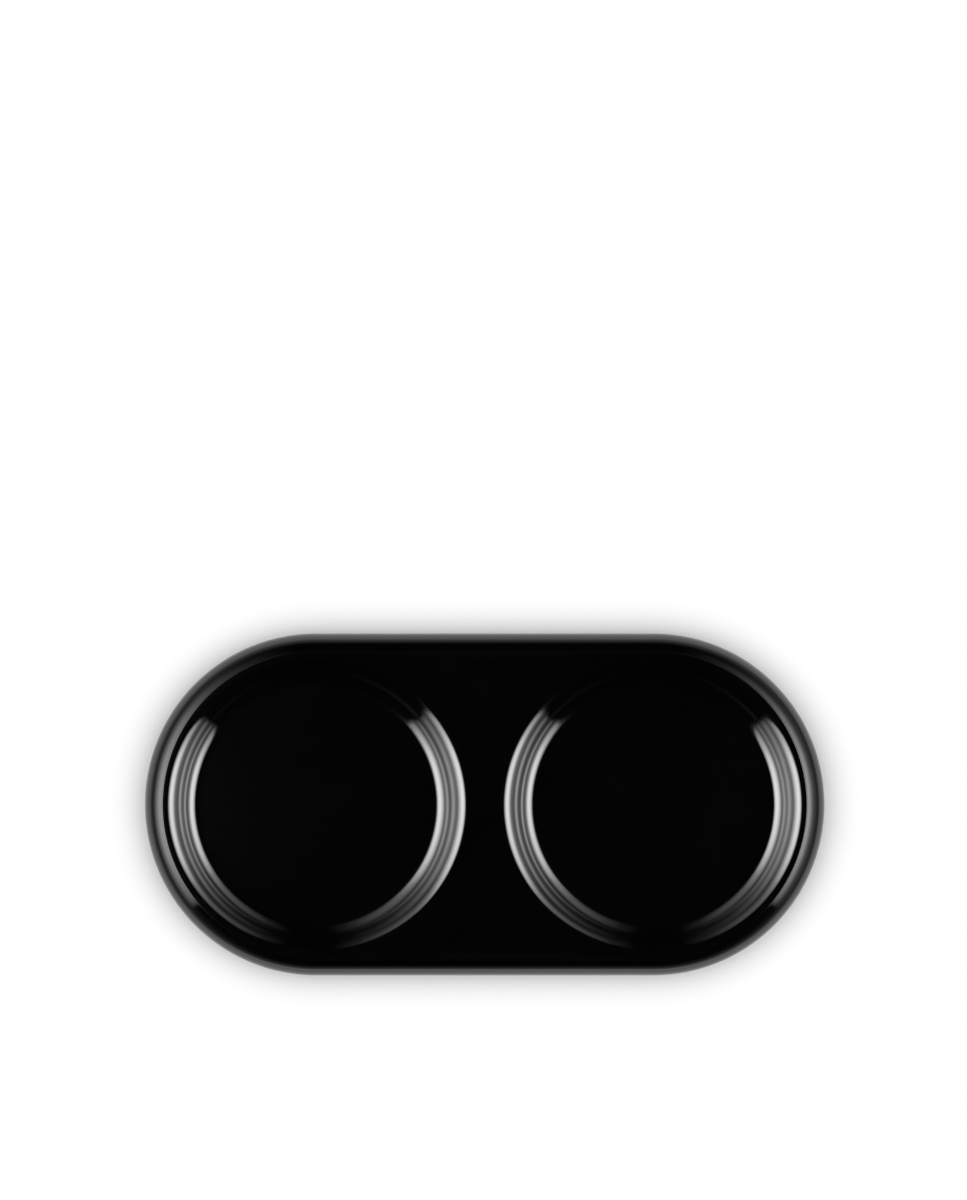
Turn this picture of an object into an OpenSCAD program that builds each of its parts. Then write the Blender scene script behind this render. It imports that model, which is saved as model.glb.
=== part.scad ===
// Tray for a pair of pepper mills: pressed stoneware under a black gloss glaze.
// Millimetres. It stands on z = 0, long axis along X, front toward -Y.

/* [Mill wells] */
// Diameter of the mill foot that a well takes
mill_foot_d = 58.7; // [50:0.1:66]
// Clearance all round the mill foot
seat_clear = 0.5; // [0.3:0.1:2]
// Distance between the centres of the two wells
well_spacing = 84.1; // [82:0.1:110]
// Depth of a well below the deck
well_depth = 2.3; // [1.6:0.1:6]
// Radius of the lip from the deck down into a well
lip_r = 7.6; // [4:0.1:9]
// Radius of the cove from the wall of a well to its floor
cove_r = 6.5; // [4:0.1:9]
// Least straight of the wall between lip and cove
wall_flat = 0.4; // [0.3:0.1:3]

/* [Rim and side] */
// Flat deck between lip and rim, at front and back
side_land = 0.7; // [0.1:0.1:5]
// Flat deck between lip and rim, at the two ends
end_land = 0.9; // [0.1:0.1:8]
// Slope of the rim where it leaves the deck, in degrees
rim_slope = 22.8; // [12:0.1:28]
// Radius of the upper, flatter part of the rim
shoulder_r = 14.5; // [11:0.1:22]
// Width of that part, seen from above
shoulder_w = 2.5; // [1.6:0.1:3.4]
// Radius of the outer part of the rim, down to the side
edge_r = 4.6; // [3:0.1:6]
// Upright flat of the side, between the rim and the tuck under it
side_flat = 0.4; // [0.2:0.1:3]

/* [Floor and foot] */
// Thickness of the tray under a well, with its glaze
floor_t = 7.1; // [6:0.1:12]
// Height of the foot ring under the base
foot_h = 3; // [1.2:0.1:5]
// Width of the foot ring
foot_w = 4; // [2.5:0.1:8]
// Flat of the base between the tuck and the foot ring
foot_set = 3; // [1.5:0.1:8]
// Rounding on both edges of the foot ring
foot_edge_r = 0.7; // [0.3:0.1:1]

/* [Glaze] */
// Thickness of the glaze
glaze_t = 0.3; // [0.15:0.05:0.8]
// Bare clay left between the glaze and the foot ring
glaze_gap = 0.9; // [0.4:0.1:1.2]

/* [Hidden] */
$fn = 96;
over = 2;
bite = 0.002;

// Slope of a well's wall, from its depth, its two rounds and its straight.
rounds = lip_r + cove_r;
straight = max(wall_flat, well_depth - rounds);
wall_slope = acos((rounds - well_depth) / norm([rounds, straight])) - atan(straight / rounds);
wall_run = round(1000 * (rounds * sin(wall_slope) + straight * cos(wall_slope))) / 1000;

floor_r = mill_foot_d / 2 + seat_clear;
top_r = floor_r + wall_run;

// Slope where the two parts of the rim meet, and the rim's width and height.
turn = asin(sin(rim_slope) + shoulder_w / shoulder_r);
rim_w = round(1000 * (shoulder_w + edge_r * (1 - sin(turn)))) / 1000;
rim_h = round(1000 * (shoulder_r * (cos(rim_slope) - cos(turn)) + edge_r * cos(turn))) / 1000;

half_w = top_r + side_land + rim_w;
half_len = well_spacing / 2 + top_r + end_land + rim_w;
half_run = half_len - half_w;
deck_z = foot_h + floor_t + well_depth;
floor_z = deck_z - well_depth;
tuck_r = deck_z - foot_h - rim_h - side_flat;
foot_out = half_w - tuck_r - foot_set;
foot_in = foot_out - foot_w;

// Slice of a disc between two directions.
module slice(r, a0, a1) {
    intersection() {
        circle(r);
        polygon([[0, 0], 2 * r * [cos(a0), sin(a0)], 2 * r * [cos(a1), sin(a1)]]);
    }
}

// Carries a half section round the long-sided oval, ends first and then both straights.
module carry_round() {
    for (end = [-1, 1])
        translate([end * half_run, 0, 0])
            rotate(end * -90)
                rotate_extrude(angle = 180)
                    children();
    for (side = [0, 1])
        mirror([0, side, 0])
            translate([-half_run, 0, 0])
                rotate([90, 0, 90])
                    linear_extrude(2 * half_run)
                        children();
}

// Half section of the tray without its wells, drawn in from the glazed surface by skin.
// The shoulder ends just inside the edge round, so that the two cross cleanly.
module side_section(skin) {
    low = foot_h + skin;
    high = deck_z - skin;
    wide = half_w - skin;
    edge = edge_r - skin;
    tuck = tuck_r - skin;
    edge_c = [half_w - edge_r, deck_z - rim_h];
    shoulder_c = edge_c - (shoulder_r - edge_r) * [sin(turn), cos(turn)];
    polygon([
        [0, low],
        [wide - tuck, low],
        [wide - tuck, low + tuck],
        [wide, low + tuck],
        [wide, edge_c[1]],
        [half_w - rim_w - over, edge_c[1]],
        [half_w - rim_w - over, high],
        [0, high]
    ]);
    translate([wide - tuck, low + tuck]) slice(tuck, -90, 0);
    translate(edge_c) slice(edge, 0, 90);
    intersection() {
        translate(shoulder_c) circle(shoulder_r - skin - bite);
        translate([half_w - rim_w - 2 * over, edge_c[1] - over])
            square([2 * over + rim_w - edge_r + edge * sin(turn), high - edge_c[1] + over]);
    }
}

// Half section of the hollow of a well, let into the clay by skin.
// The straight of the wall starts and ends just inside its two rounds, so that they cross cleanly.
module well_section(skin) {
    cove = cove_r + skin;
    lip = lip_r - skin;
    low = floor_z - skin;
    cove_c = [floor_r, floor_z + cove_r];
    lip_c = [top_r, deck_z - lip_r];
    outward = [sin(wall_slope), -cos(wall_slope)];
    wall_low = cove_c + (cove - bite) * outward;
    wall_high = lip_c - (lip - bite) * outward;
    difference() {
        union() {
            translate([0, low]) square([floor_r, deck_z + over / 2 - low]);
            translate(cove_c) circle(cove);
            polygon([
                [floor_r / 2, wall_low[1]],
                wall_low,
                wall_high,
                [top_r, wall_high[1]],
                [top_r, deck_z + over],
                [floor_r / 2, deck_z + over]
            ]);
        }
        translate(lip_c) circle(lip);
    }
}

// Whole form of the tray above the foot ring.
module tray_form(skin) {
    difference() {
        carry_round() side_section(skin);
        for (end = [-1, 1])
            translate([end * well_spacing / 2, 0, 0])
                rotate_extrude()
                    well_section(skin);
    }
}

// Flat outline of the oval, at a distance r from its spine.
module oval(r) {
    square([2 * half_run, 2 * r], center = true);
    for (end = [-1, 1])
        translate([end * half_run, 0])
            rotate(end * -90)
                intersection() {
                    circle(r);
                    translate([-2 * r, 0]) square([4 * r, 2 * r]);
                }
}

// Half section of the foot ring, rounded where it meets the table.
module foot_section() {
    e = foot_edge_r;
    polygon([
        [foot_in, foot_h + glaze_t],
        [foot_in, e],
        [foot_in + e, e],
        [foot_in + e, 0],
        [foot_out - e, 0],
        [foot_out - e, e],
        [foot_out, e],
        [foot_out, foot_h + glaze_t]
    ]);
    translate([foot_in + e, e]) slice(e, 180, 270);
    translate([foot_out - e, e]) slice(e, -90, 0);
}

// Fired clay with its bare foot ring.
module stoneware_body() {
    color([0.74, 0.66, 0.55]) {
        tray_form(glaze_t);
        carry_round() foot_section();
    }
}

// Glaze over deck, wells, rim and side, and under as far as the bare margin of the foot.
module upper_glaze() {
    color([0.02, 0.02, 0.022])
        difference() {
            tray_form(0);
            tray_form(glaze_t);
            translate([0, 0, foot_h - over])
                linear_extrude(over + 2 * glaze_t)
                    oval(foot_out + glaze_gap);
        }
}

// Glaze on the base within the foot ring.
module base_glaze() {
    color([0.02, 0.02, 0.022])
        translate([0, 0, foot_h])
            linear_extrude(glaze_t)
                oval(foot_in - glaze_gap);
}

stoneware_body();
upper_glaze();
base_glaze();
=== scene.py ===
import bpy
import bmesh
import math
import numpy as np
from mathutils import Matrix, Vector, noise


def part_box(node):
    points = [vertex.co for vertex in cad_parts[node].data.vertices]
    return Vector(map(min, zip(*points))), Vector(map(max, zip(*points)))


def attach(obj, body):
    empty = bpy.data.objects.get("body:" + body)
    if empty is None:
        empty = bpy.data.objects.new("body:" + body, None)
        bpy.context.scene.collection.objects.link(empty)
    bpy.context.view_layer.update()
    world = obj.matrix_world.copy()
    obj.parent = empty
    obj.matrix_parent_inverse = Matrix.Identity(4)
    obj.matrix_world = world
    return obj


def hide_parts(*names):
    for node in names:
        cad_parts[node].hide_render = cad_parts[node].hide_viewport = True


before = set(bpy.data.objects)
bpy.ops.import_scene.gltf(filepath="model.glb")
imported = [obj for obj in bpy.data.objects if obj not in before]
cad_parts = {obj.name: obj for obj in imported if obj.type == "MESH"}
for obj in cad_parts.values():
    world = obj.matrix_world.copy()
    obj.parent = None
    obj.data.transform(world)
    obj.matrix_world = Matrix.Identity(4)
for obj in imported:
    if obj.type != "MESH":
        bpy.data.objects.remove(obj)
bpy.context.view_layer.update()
scene = bpy.context.scene
scene.view_settings.view_transform = "Standard"
mm = 0.001

# sizes of the pressed form, in millimetres
trayForm = {
    "wellSpacing": 84.1,
    "floorRadius": 29.85,
    "wellDepth": 2.3,
    "lipRadius": 7.6,
    "coveRadius": 6.5,
    "wallStraight": 0.4,
    # shares of the two radii, by slope in degrees: the rounds ease into floor and deck
    "coveEase": ((0, 4.0), (1.2, 2.4), (2.5, 1.2), (12, 1.2), (18, 0.75), (24, 0.8), (32, 1.0)),
    "lipEase": ((0, 2.6), (1.2, 1.7), (2.5, 1.0), (32, 1.0)),
    "lipPinch": 1.3,         # how far the lip is drawn in at front and back
    "rimSlope": 22.8,        # degrees, where the rim leaves the deck
    "shoulderRadius": 14.5,
    "shoulderWidth": 2.5,
    "edgeRadius": 4.6,
    "sideFlat": 0.4,
    "footHeight": 3.0,
    "footSet": 3.0,
    "footWidth": 4.0,
    "glazeGap": 0.9,
    "underSteps": (0.6, 0.25, 0.08, 0),   # rows across the flat under the tray, as far as the glaze line
}
glazeLow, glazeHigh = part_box("upper_glaze")
baseLow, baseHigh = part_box("base_glaze")
halfLength = glazeHigh.x / mm
halfWidth = glazeHigh.y / mm
deckHeight = glazeHigh.z / mm
glazeThickness = (baseHigh.z - baseLow.z) / mm
halfRun = halfLength - halfWidth   # half the spine that the oval is swept round

rounds = trayForm["lipRadius"] + trayForm["coveRadius"]
wallSlope = (math.acos((rounds - trayForm["wellDepth"]) / math.hypot(rounds, trayForm["wallStraight"]))
             - math.atan(trayForm["wallStraight"] / rounds))
topRadius = (trayForm["floorRadius"] + rounds * math.sin(wallSlope)
             + trayForm["wallStraight"] * math.cos(wallSlope))
rimSlope = math.radians(trayForm["rimSlope"])
rimTurn = math.asin(math.sin(rimSlope) + trayForm["shoulderWidth"] / trayForm["shoulderRadius"])
rimHeight = (trayForm["shoulderRadius"] * (math.cos(rimSlope) - math.cos(rimTurn))
             + trayForm["edgeRadius"] * math.cos(rimTurn))
edgeCentre = (halfWidth - trayForm["edgeRadius"], deckHeight - rimHeight)
shoulderReach = trayForm["shoulderRadius"] - trayForm["edgeRadius"]
shoulderCentre = (edgeCentre[0] - shoulderReach * math.sin(rimTurn),
                  edgeCentre[1] - shoulderReach * math.cos(rimTurn))
tuckRadius = deckHeight - trayForm["footHeight"] - rimHeight - trayForm["sideFlat"]
footOuter = halfWidth - tuckRadius - trayForm["footSet"]
footInner = footOuter - trayForm["footWidth"]


def arc(centre, radius, start, end, count):
    # angles are the surface's slope: 0 is level, a quarter turn is upright
    return [(centre[0] + radius * math.sin(a), centre[1] + radius * math.cos(a))
            for a in np.linspace(start, end, count)]


def easedTurn(start, radius, ease, count, way):
    # from the wall up to the deck or down to the floor, on a radius that eases with the slope
    r, z = start
    rows = [start]
    turns = np.linspace(wallSlope, 0, count)
    for steep, level in zip(turns, turns[1:]):
        middle = (steep + level) / 2
        step = radius * np.interp(math.degrees(middle), *zip(*ease)) * (steep - level)
        r += way * step * math.cos(middle)
        z += way * step * math.sin(middle)
        rows.append((r, z))
    return rows


def wellRows(skin, coveCount, lipCount, floorRings):
    # from the middle of a well's floor out to the deck, as (radius, height)
    cove = trayForm["coveRadius"] + skin
    lip = trayForm["lipRadius"] - skin
    wallLow = (trayForm["floorRadius"] + cove * math.sin(wallSlope),
               deckHeight - trayForm["wellDepth"] - skin + cove * (1 - math.cos(wallSlope)))
    wallHigh = (topRadius - lip * math.sin(wallSlope), deckHeight - skin - lip * (1 - math.cos(wallSlope)))
    wall = easedTurn(wallLow, cove, trayForm["coveEase"], coveCount, -1)[::-1]
    wall += easedTurn(wallHigh, lip, trayForm["lipEase"], lipCount, 1)
    settle = deckHeight - skin - wall[-1][1]
    wall = [(r, z + settle) for r, z in wall]
    floorEnd, floorHeight = wall[0]
    return [(floorEnd * f, floorHeight) for f in floorRings] + wall


def rimRows(skin, crestRound, counts):
    # from the end of the deck over the rim, down the side and under, as (reach, height)
    shoulder = trayForm["shoulderRadius"] - skin
    deck = deckHeight - skin
    high = deck - crestRound
    reach = math.sqrt((shoulder - crestRound) ** 2 - (high - shoulderCentre[1]) ** 2)
    crest = (shoulderCentre[0] + reach, high)
    crestTurn = math.atan2(reach, high - shoulderCentre[1])
    low = trayForm["footHeight"] + skin
    tuckCentre = (halfWidth - tuckRadius, trayForm["footHeight"] + tuckRadius)
    rows = arc(crest, crestRound, 0, crestTurn, counts["crest"]) if crestRound else []
    rows += arc(shoulderCentre, shoulder, crestTurn, rimTurn, counts["shoulder"])[1 if crestRound else 0:]
    rows += arc(edgeCentre, trayForm["edgeRadius"] - skin, rimTurn, math.pi / 2, counts["edge"])[1:]
    rows += arc(tuckCentre, tuckRadius - skin, math.pi / 2, math.pi, counts["tuck"])
    lineAt = footOuter + trayForm["glazeGap"] + glazeThickness / 2
    return rows + [(lineAt + (rows[-1][0] - lineAt) * f, low) for f in trayForm["underSteps"]]


def spokes(reach, rimCount, middleCount):
    # rays from the right well: those that end on the rim, then those that end on the tray's middle line
    wellX = trayForm["wellSpacing"] / 2
    corner = math.pi - math.atan2(reach, wellX)
    found = []
    for a in np.linspace(corner, -corner, rimCount):
        dx, dy = math.cos(a), math.sin(a)
        lineT = reach / abs(dy) if abs(dy) > 1e-9 else 1e9
        x = wellX + lineT * dx
        if x <= halfRun:   # front or back
            spine = (max(x, 0.0), 0.0)
            normal = (0.0, math.copysign(1.0, dy))
        else:              # round end
            b = (wellX - halfRun) * dx
            t = -b + math.sqrt(b * b - (wellX - halfRun) ** 2 + reach ** 2)
            spine = (halfRun, 0.0)
            normal = ((wellX + t * dx - halfRun) / reach, t * dy / reach)
        found.append({"turn": (dx, dy), "spine": spine, "normal": normal})
    for a in np.linspace(-corner, corner - 2 * math.pi, middleCount)[1:-1]:
        t = -wellX / math.cos(a)
        found.append({"turn": (math.cos(a), math.sin(a)), "end": (0.0, t * math.sin(a))})
    return found


def traySheet(well, deckSteps, rim, rays, rimCount):
    # one glazed surface of the right half, mirrored for the left half
    wellX = trayForm["wellSpacing"] / 2
    lipEnd = well[-1][0]
    lipStart = lipEnd - trayForm["lipRadius"] * math.sin(wallSlope)
    points, faces, index = [(wellX, 0.0, well[0][1])], [], []
    for ray in rays:
        pinch = trayForm["lipPinch"] * ray["turn"][1] ** 2
        drawnIn = [(r - pinch * max(0.0, (r - lipStart) / (lipEnd - lipStart)) ** 2, z)
                   for r, z in well[1:]]
        line = [(wellX + r * ray["turn"][0], r * ray["turn"][1], z) for r, z in drawnIn]
        over = []
        if "spine" in ray:
            over = [(ray["spine"][0] + ray["normal"][0] * r, ray["normal"][1] * r, z) for r, z in rim]
        x0, y0, z0 = line[-1]
        x1, y1 = over[0][:2] if over else ray["end"]
        line += [(x0 + (x1 - x0) * f, y0 + (y1 - y0) * f, z0) for f in deckSteps] + over[1:]
        index.append(range(len(points), len(points) + len(line)))
        points += line
    ringEnd = len(well) - 1 + len(deckSteps)
    for i in range(len(rays)):
        a, b = index[i], index[(i + 1) % len(rays)]
        faces.append((0, b[0], a[0]))
        last = min(len(a), len(b)) if i < rimCount - 1 else ringEnd
        for k in range(last - 1):
            faces.append((a[k], b[k], b[k + 1], a[k + 1]))
    points = np.array(points)
    count = len(points)
    mirrored = points * (-1, 1, 1)
    faces += [tuple(count + v for v in reversed(f)) for f in faces]
    return np.vstack([points, mirrored]), faces


def meshPiece(name, points, faces, weld=2e-6):
    # welds the sheets into one closed shell, in metres
    mesh = bpy.data.meshes.new(name)
    mesh.from_pydata([tuple(p * mm) for p in points], [], faces)
    shell = bmesh.new()
    shell.from_mesh(mesh)
    bmesh.ops.remove_doubles(shell, verts=shell.verts, dist=weld)
    bmesh.ops.recalc_face_normals(shell, faces=shell.faces)
    openEdges = sum(1 for e in shell.edges if not e.is_manifold)
    for f in shell.faces:
        f.smooth = True
    shell.to_mesh(mesh)
    shell.free()
    piece = bpy.data.objects.new(name, mesh)
    scene.collection.objects.link(piece)
    print(name, len(mesh.vertices), "points,", len(mesh.polygons), "faces, open edges", openEdges)
    return piece


# camera straight above, as in the photograph
cameraSet = {
    "height": 2.4,
    "pixel": 0.25026 * mm,             # one photograph pixel at the widest part of the tray
    "frame": (967, 1200),
    "trayAt": (484.7, 804.4),          # where the tray's middle falls in the frame
    "sensor": 36.0,
    "farthest": 20.0,
}
camera = bpy.data.objects.new("camera", bpy.data.cameras.new("camera"))
scene.collection.objects.link(camera)
offX = (cameraSet["frame"][0] / 2 - cameraSet["trayAt"][0]) * cameraSet["pixel"]
offY = (cameraSet["trayAt"][1] - cameraSet["frame"][1] / 2) * cameraSet["pixel"]
camera.location = (offX, offY, cameraSet["height"])
camera.data.sensor_width = cameraSet["sensor"]
camera.data.lens = (cameraSet["sensor"] * (cameraSet["height"] - edgeCentre[1] * mm)
                    / (cameraSet["frame"][1] * cameraSet["pixel"]))
camera.data.clip_end = cameraSet["farthest"]
scene.camera = camera
print("camera lens", round(camera.data.lens, 1))


def newMaterial(name):
    material = bpy.data.materials.new(name)
    material.use_nodes = True
    nodes, links = material.node_tree.nodes, material.node_tree.links
    shader = nodes["Principled BSDF"]
    place = nodes.new("ShaderNodeTexCoord").outputs["Object"]
    return material, nodes, links, shader, place


def noiseNode(nodes, links, place, scale, detail=2.0, rough=0.5):
    made = nodes.new("ShaderNodeTexNoise")
    made.inputs["Scale"].default_value = scale
    made.inputs["Detail"].default_value = detail
    made.inputs["Roughness"].default_value = rough
    links.new(place, made.inputs["Vector"])
    return made.outputs["Fac"]


def rampNode(nodes, links, source, stops):
    # a new ramp has two stops, which is what each look here needs
    made = nodes.new("ShaderNodeValToRGB")
    for element, (at, colour) in zip(made.color_ramp.elements, stops):
        element.position = at
        element.color = (*colour, 1)
    links.new(source, made.inputs["Fac"])
    return made.outputs["Color"]


def shownRays(nodes, links):
    # 1 for what the eye, a reflection or clear glass sees, 0 for light on its way
    path = nodes.new("ShaderNodeLightPath")
    shown = path.outputs["Is Camera Ray"]
    for kind in ("Is Glossy Ray", "Is Transmission Ray"):
        either = nodes.new("ShaderNodeMath")
        either.operation = "MAXIMUM"
        links.new(shown, either.inputs[0])
        links.new(path.outputs[kind], either.inputs[1])
        shown = either.outputs[0]
    return shown


# black gloss glaze: deep colour with a faint warm drift, a little paler where it runs thin
blackGlazeLook = {
    "deep": (0.0006, 0.0005, 0.0006),
    "drift": (0.0012, 0.0009, 0.0011),
    "thin": (0.0065, 0.0042, 0.0030),
    "driftNoise": (55, 3.0),   # scale and detail
    "driftStops": (0.35, 0.7),
    "gloss": (0.035, 0.06),    # least and most roughness
    "glossNoise": (240, 4.0),
    "index": 1.68,
    "peelNoise": (620, 1.0),
    "peelDepth": 1.6e-6,
}


def blackGlaze():
    look = blackGlazeLook
    material, nodes, links, shader, place = newMaterial("blackGlaze")
    drift = noiseNode(nodes, links, place, *look["driftNoise"])
    colour = rampNode(nodes, links, drift, zip(look["driftStops"], (look["deep"], look["drift"])))
    thin = nodes.new("ShaderNodeAttribute")
    thin.attribute_name = "thinGlaze"
    mix = nodes.new("ShaderNodeMix")
    mix.data_type = "RGBA"
    links.new(thin.outputs["Fac"], mix.inputs[0])
    links.new(colour, mix.inputs[6])   # 6 and 7 are a colour mix's two inputs
    mix.inputs[7].default_value = (*look["thin"], 1)
    links.new(mix.outputs[2], shader.inputs["Base Color"])
    satin = nodes.new("ShaderNodeMapRange")
    satin.inputs["To Min"].default_value, satin.inputs["To Max"].default_value = look["gloss"]
    links.new(noiseNode(nodes, links, place, *look["glossNoise"]), satin.inputs["Value"])
    links.new(satin.outputs["Result"], shader.inputs["Roughness"])
    shader.inputs["IOR"].default_value = look["index"]
    peel = nodes.new("ShaderNodeBump")
    peel.inputs["Strength"].default_value = 1.0
    peel.inputs["Distance"].default_value = look["peelDepth"]
    links.new(noiseNode(nodes, links, place, *look["peelNoise"]), peel.inputs["Height"])
    links.new(peel.outputs["Normal"], shader.inputs["Normal"])
    return material


# bare fired clay of the foot: warm buff with iron specks and a dry grain
bareClayLook = {
    "pale": (0.66, 0.56, 0.44),
    "toasted": (0.50, 0.39, 0.28),
    "speck": (0.10, 0.06, 0.04),
    "mottleNoise": (90, 5.0, 0.6),      # scale, detail and roughness
    "mottleStops": (0.3, 0.7),
    "speckScale": 700,
    "speckStops": (0.12, 0.2),          # core and edge of a speck
    "grainNoise": (1800, 6.0, 0.65),
    "grainDepth": 0.06 * mm,
    "grainStrength": 0.6,
    "roughness": 0.88,
    "shine": 0.3,
}


def bareClay():
    look = bareClayLook
    material, nodes, links, shader, place = newMaterial("bareStoneware")
    mottle = noiseNode(nodes, links, place, *look["mottleNoise"])
    colour = rampNode(nodes, links, mottle, zip(look["mottleStops"], (look["toasted"], look["pale"])))
    cells = nodes.new("ShaderNodeTexVoronoi")
    cells.inputs["Scale"].default_value = look["speckScale"]
    links.new(place, cells.inputs["Vector"])
    specks = rampNode(nodes, links, cells.outputs["Distance"],
                      zip(look["speckStops"], ((1, 1, 1), (0, 0, 0))))
    mix = nodes.new("ShaderNodeMix")
    mix.data_type = "RGBA"
    links.new(specks, mix.inputs[0])
    links.new(colour, mix.inputs[6])
    mix.inputs[7].default_value = (*look["speck"], 1)
    links.new(mix.outputs[2], shader.inputs["Base Color"])
    shader.inputs["Roughness"].default_value = look["roughness"]
    shader.inputs["Specular IOR Level"].default_value = look["shine"]
    grain = nodes.new("ShaderNodeBump")
    grain.inputs["Strength"].default_value = look["grainStrength"]
    grain.inputs["Distance"].default_value = look["grainDepth"]
    links.new(noiseNode(nodes, links, place, *look["grainNoise"]), grain.inputs["Height"])
    links.new(grain.outputs["Normal"], shader.inputs["Normal"])
    return material


glazeMaterial = blackGlaze()
clayMaterial = bareClay()
print("materials made")

# upper coat: a closed shell over deck, wells, rim and side, rolled over where it stops under the tray
upperCoat = {
    "rimSpokes": 264,
    "middleSpokes": 76,
    "floorRings": (0, 0.12, 0.3, 0.5, 0.7, 0.85, 0.94, 0.98),
    "coveRows": 28,
    "lipRows": 30,
    "deckSteps": (0.08, 0.3, 0.55, 0.8, 1.0),
    "crestRound": 0.2,
    "rimCounts": {"crest": 6, "shoulder": 9, "edge": 20, "tuck": 11},
    "lineSteps": 7,
    "claySide": {"cove": 7, "lip": 7, "rim": {"shoulder": 3, "edge": 6, "tuck": 5}},   # the hidden sheet
    "waver": 0.006,          # how far the fired surface strays, in millimetres
    "waverLength": 26.0,
    "waverStart": (3.1, 7.4, 1.9),
    "holdFrom": 0.6,         # share of the edge round above which the surface strays
    "thinWidth": 1.1,        # paler band beside the glaze line
    "thinRise": 1.5,         # height of that band, in thicknesses of the glaze
    "crestThin": 0.25,       # how pale the glaze runs along the crest
    "crestOff": 0.1,
    "crestWidth": 0.22,
    "crestFall": 0.3,
}


def upperCoatPiece():
    made = upperCoat
    outerRim = rimRows(0, made["crestRound"], made["rimCounts"])
    lineAt, low = outerRim[-1]
    half = glazeThickness / 2
    outerRim += [(lineAt - half * math.sin(a), low + half - half * math.cos(a))
                 for a in np.linspace(0, math.pi, made["lineSteps"])[1:]]
    hidden = made["claySide"]
    innerRim = rimRows(glazeThickness, 0, hidden["rim"])
    # both sheets share their spokes, so that they meet along the glaze line
    rays = spokes(outerRim[0][0], made["rimSpokes"], made["middleSpokes"])
    outerWell = wellRows(0, made["coveRows"], made["lipRows"], made["floorRings"])
    outer, outerFaces = traySheet(outerWell, made["deckSteps"], outerRim, rays, made["rimSpokes"])
    innerWell = wellRows(glazeThickness, hidden["cove"], hidden["lip"], made["floorRings"][::2])
    inner, innerFaces = traySheet(innerWell, made["deckSteps"][::2], innerRim, rays, made["rimSpokes"])
    # the fired surface is never quite true, and the rim holds it
    shore = edgeCentre[1] + trayForm["edgeRadius"] * made["holdFrom"]
    waverStart = Vector(made["waverStart"])
    for p in outer:
        hold = min(1.0, max(0.0, (p[2] - shore) / (deckHeight - shore)))
        at = Vector((abs(p[0]) if abs(p[0]) < 1e-6 else p[0], p[1], 0.0)) / made["waverLength"]
        p[2] += made["waver"] * hold * noise.noise(at + waverStart)
    count = len(outer)
    piece = meshPiece("upperGlazeCoat", np.vstack([outer, inner]),
                      outerFaces + [tuple(count + v for v in f) for f in innerFaces])
    thin = piece.data.attributes.new("thinGlaze", "FLOAT", "POINT")
    crestAt = outerRim[0][0]
    for v, value in zip(piece.data.vertices, thin.data):
        x, y, z = v.co / mm
        reach = math.hypot(max(0.0, abs(x) - halfRun), y)
        under, onCrest = 0.0, 0.0
        if z < low + glazeThickness * made["thinRise"]:
            under = max(0.0, 1 - abs(reach - lineAt) / made["thinWidth"])
        if z > deckHeight - made["crestFall"]:
            onCrest = math.exp(-((reach - crestAt - made["crestOff"]) / made["crestWidth"]) ** 2)
        value.value = max(under, made["crestThin"] * onCrest)
    return piece


upperGlaze = upperCoatPiece()
upperGlaze.data.materials.append(glazeMaterial)
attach(upperGlaze, "root")
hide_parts("upper_glaze")

# base coat: the pool of glaze inside the foot ring, with rounded shores
baseCoat = {
    "around": 220,
    "acrossRows": (1.0, 0.97, 0.9, 0.75, 0.5, 0.25, 0.0),
    "shoreSteps": 9,
    "belly": 0.05,           # the pool is a touch fuller in the middle
}


def baseCoatPiece():
    made = baseCoat
    reach = footInner - trayForm["glazeGap"]
    low, high = baseLow.z / mm, baseHigh.z / mm
    half = (high - low) / 2
    inner = reach - half
    section = [(inner * f, low + made["belly"] * (f ** 2)) for f in reversed(made["acrossRows"])]
    rise = half - made["belly"] / 2
    section += [(inner + half * math.sin(a), low + made["belly"] + rise * (1 - math.cos(a)))
                for a in np.linspace(0, math.pi, made["shoreSteps"])[1:-1]]
    section += [(inner * f, high) for f in made["acrossRows"]]
    outline = []
    quarter = made["around"] // 4
    for side in (1, -1):
        outline += [((side * halfRun, 0.0), (side * math.sin(a), side * math.cos(a)))
                    for a in np.linspace(0, math.pi, 2 * quarter)]
    points = [(s[0] + n[0] * r, n[1] * r, z) for s, n in outline for r, z in section]
    rows, count = len(section), len(outline)
    faces = []
    for i in range(count):
        here, ahead = i * rows, ((i + 1) % count) * rows
        faces += [(here + k, ahead + k, ahead + k + 1, here + k + 1) for k in range(rows - 1)]
    return meshPiece("baseGlazeCoat", np.array(points), faces)


baseGlaze = baseCoatPiece()
baseGlaze.data.materials.append(glazeMaterial)
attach(baseGlaze, "root")
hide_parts("base_glaze")

# the clay keeps its CAD shape and takes the bare finish
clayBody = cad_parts["stoneware_body"]
clayBody.data.materials.clear()
clayBody.data.materials.append(clayMaterial)
print("pieces made")

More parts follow.
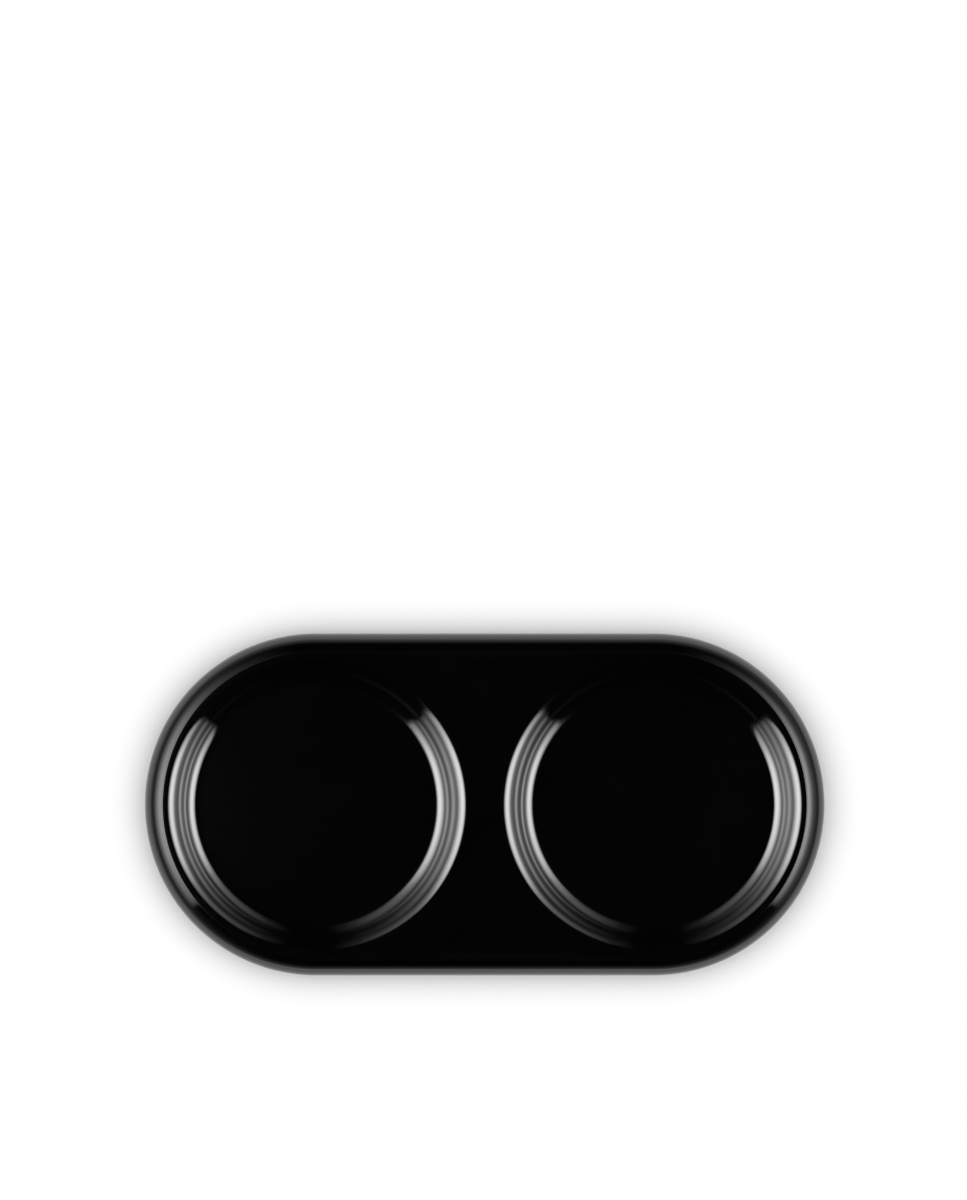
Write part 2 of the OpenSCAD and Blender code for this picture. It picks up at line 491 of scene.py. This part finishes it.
# white table, lit plainly; it shows white to the eye and in reflections, and keeps the shadow
tableSet = {
    "size": 5.0,
    "drop": 0.05 * mm,       # a hair below the foot, so that the two faces don't meet
    "colour": (0.94, 0.94, 0.94),
    "toneRise": 1.01,        # the paper's paler tone
    "toneScale": 30,
    "lift": 0.01,
    "sky": 0.1,
    "backdrop": 0.96,
}
tableMesh = bpy.data.meshes.new("table")
tableCorners = [(x * tableSet["size"], y * tableSet["size"], -tableSet["drop"])
                for x, y in ((-1, -1), (1, -1), (1, 1), (-1, 1))]
tableMesh.from_pydata(tableCorners, [], [(0, 1, 2, 3)])
table = bpy.data.objects.new("table", tableMesh)
scene.collection.objects.link(table)
tableMaterial, nodes, links, shader, place = newMaterial("whiteTable")
paper = noiseNode(nodes, links, place, tableSet["toneScale"])
paler = tuple(c * tableSet["toneRise"] for c in tableSet["colour"])
paperTones = [(0.0, tableSet["colour"]), (1.0, paler)]
links.new(rampNode(nodes, links, paper, paperTones), shader.inputs["Base Color"])
shader.inputs["Roughness"].default_value = 1.0
shader.inputs["Specular IOR Level"].default_value = 0.0
lift = nodes.new("ShaderNodeMath")
lift.operation = "MULTIPLY"
lift.inputs[1].default_value = tableSet["lift"]
links.new(shownRays(nodes, links), lift.inputs[0])
shader.inputs["Emission Color"].default_value = (1, 1, 1, 1)
links.new(lift.outputs[0], shader.inputs["Emission Strength"])
table.data.materials.append(tableMaterial)

# world: pale behind the table, and a low even fill
world = bpy.data.worlds.new("studio")
scene.world = world
world.use_nodes = True
nodes, links = world.node_tree.nodes, world.node_tree.links
background = nodes["Background"]
fill = nodes.new("ShaderNodeMapRange")
fill.inputs["To Min"].default_value = tableSet["sky"]
fill.inputs["To Max"].default_value = tableSet["backdrop"]
links.new(shownRays(nodes, links), fill.inputs["Value"])
background.inputs["Color"].default_value = (1, 1, 1, 1)
links.new(fill.outputs["Result"], background.inputs["Strength"])

# a broad soft lamp overhead and a weak one leaning in from each side, for the table and the clay
lampSet = {
    "overheadLamp": {"strength": 2.66, "lean": 0, "softness": 90},
    "leftLamp": {"strength": 0.22, "lean": -32, "softness": 50},
    "rightLamp": {"strength": 0.22, "lean": 32, "softness": 50},
}
for name, made in lampSet.items():
    lamp = bpy.data.objects.new(name, bpy.data.lights.new(name, "SUN"))
    lamp.data.energy = made["strength"]
    lamp.data.angle = math.radians(made["softness"])
    lamp.rotation_euler = (0, math.radians(made["lean"]), 0)
    lamp.visible_glossy = False
    scene.collection.objects.link(lamp)

# the studio that the glaze mirrors: a high strip and a low strip on each side, and a pale horizon
studioSet = {
    "radius": 6.0,
    "stepAround": 1.5,
    "stepUp": 0.75,
    # strength of each strip by height, in degrees above the table
    "right": {
        "high": ((42, 0.0), (46, 0.8), (53, 1.4), (58, 2.1), (61, 3.4), (64, 6.2), (67, 8.9),
                 (70, 10.6), (73, 10.8), (76, 9.8), (79, 7.6), (82, 4.0), (83.7, 1.8), (85, 0.35),
                 (86, 0.08), (87, 0.0)),
        "low": ((16, 0.0), (20, 0.2), (24, 0.45), (28, 0.9), (31, 1.8), (34, 3.2), (36.5, 4.2), (39, 4.6),
                (41, 3.8), (43.5, 1.6), (46, 0.5), (50, 0.0)),
    },
    "left": {
        "high": ((44, 0.0), (48, 1.5), (54, 1.8), (57, 2.9), (60, 4.4), (63, 6.2), (66, 8.0),
                 (69, 9.8), (72, 10.9), (75, 11.2), (78, 10.3), (81, 7.8), (83, 4.8), (85, 1.8),
                 (86, 0.4), (86.7, 0.06), (87.4, 0.0)),
        "low": ((22, 0.0), (26, 0.9), (30, 2.2), (33, 3.4), (36, 4.1), (39, 4.3), (42, 3.6), (45, 2.2),
                (48, 0.8), (51, 0.0)),
    },
    # share of that strength by direction, in degrees from the side toward the back
    "highReach": ((-41.5, 0.0), (-39.5, 0.28), (-37, 0.39), (-34, 0.49), (-30, 0.65), (-26, 0.83),
                  (-20, 0.97), (-10, 1.02), (0, 1.0), (10, 0.92), (20, 0.74), (27, 0.5),
                  (34, 0.24), (42, 0.13), (52, 0.085), (60, 0.055), (70, 0.015), (80, 0.0)),
    "lowReach": ((-40.5, 0.0), (-38.5, 0.3), (-36, 0.43), (-30, 0.62), (-20, 0.88), (-10, 1.0),
                 (4, 1.0), (14, 0.88), (22, 0.7), (30, 0.52), (38, 0.3), (46, 0.16), (54, 0.07),
                 (62, 0.025), (74, 0.0)),
    # bend 1 is a strip that runs straight from front to back, 0 one that goes round the tray
    "highBend": 0.5,
    "lowBend": 0.0,
    "horizon": {
        "right": ((0, 0.62), (7, 0.36), (14, 0.2), (20, 0.13), (26, 0.08), (34, 0.0)),
        "back": ((0, 0.95), (7, 0.63), (15, 0.4), (21, 0.27), (25, 0.07), (28, 0.0)),
        "left": ((0, 0.87), (7, 0.55), (14, 0.34), (20, 0.22), (26, 0.14), (36, 0.0)),
        "front": ((0, 1.7), (5, 1.15), (10, 0.68), (17, 0.3), (22, 0.1), (26, 0.0)),
    },
    "overhead": 0.004,
}


def studioGlow(around, up):
    # around is measured from +X toward the back, up from the table, both in degrees
    side = "right" if math.cos(math.radians(around)) >= 0 else "left"
    strips = studioSet[side]
    off = around if side == "right" else 180 - around
    off = (off + 180) % 360 - 180
    glow = 0.0
    for strip in ("high", "low"):
        narrowed = max(0.02, math.cos(math.radians(off))) ** studioSet[strip + "Bend"]
        level = math.degrees(math.atan2(math.tan(math.radians(min(up, 89.9))), narrowed))
        rise = np.interp(level, *zip(*strips[strip]), left=0.0, right=0.0)
        reach = np.interp(off, *zip(*studioSet[strip + "Reach"]), left=0.0, right=0.0)
        glow += rise * reach
    for facing, name in ((0, "right"), (90, "back"), (180, "left"), (270, "front")):
        share = max(0.0, math.cos(math.radians(around - facing))) ** 2
        glow += share * np.interp(up, *zip(*studioSet["horizon"][name]))
    return glow + studioSet["overhead"]


def studioShell():
    radius = studioSet["radius"]
    around = np.arange(0, 360, studioSet["stepAround"])
    up = np.arange(0, 90, studioSet["stepUp"])
    points = [(radius * math.cos(math.radians(e)) * math.cos(math.radians(a)),
               radius * math.cos(math.radians(e)) * math.sin(math.radians(a)),
               radius * math.sin(math.radians(e))) for e in up for a in around]
    points.append((0, 0, radius))
    n = len(around)
    faces = [(k * n + i, (k + 1) * n + i, (k + 1) * n + (i + 1) % n, k * n + (i + 1) % n)
             for k in range(len(up) - 1) for i in range(n)]
    top = (len(up) - 1) * n
    faces += [(top + i, len(points) - 1, top + (i + 1) % n) for i in range(n)]
    mesh = bpy.data.meshes.new("studioShell")
    mesh.from_pydata(points, [], faces)
    glow = mesh.attributes.new("glow", "FLOAT", "POINT")
    glow.data.foreach_set("value", [studioGlow(a, e) for e in up for a in around] + [studioSet["overhead"]])
    shell = bpy.data.objects.new("studioShell", mesh)
    scene.collection.objects.link(shell)
    material = bpy.data.materials.new("studioShell")
    material.use_nodes = True
    nodes, links = material.node_tree.nodes, material.node_tree.links
    nodes.clear()
    source = nodes.new("ShaderNodeAttribute")
    source.attribute_name = "glow"
    path = nodes.new("ShaderNodeLightPath")
    first = nodes.new("ShaderNodeMath")   # seen in the glaze itself, not by way of the table
    first.operation = "LESS_THAN"
    first.inputs[1].default_value = 0.5
    links.new(path.outputs["Diffuse Depth"], first.inputs[0])
    shown = nodes.new("ShaderNodeMath")
    shown.operation = "MULTIPLY"
    links.new(source.outputs["Fac"], shown.inputs[0])
    links.new(first.outputs[0], shown.inputs[1])
    light = nodes.new("ShaderNodeEmission")
    output = nodes.new("ShaderNodeOutputMaterial")
    links.new(shown.outputs[0], light.inputs["Strength"])
    links.new(light.outputs["Emission"], output.inputs["Surface"])
    material.cycles.emission_sampling = "NONE"
    mesh.materials.append(material)
    # only mirror reflections see it, so it lights nothing
    shell.visible_camera = False
    shell.visible_diffuse = False
    shell.visible_transmission = False
    shell.visible_volume_scatter = False
    shell.visible_shadow = False


studioShell()
print("studio made")
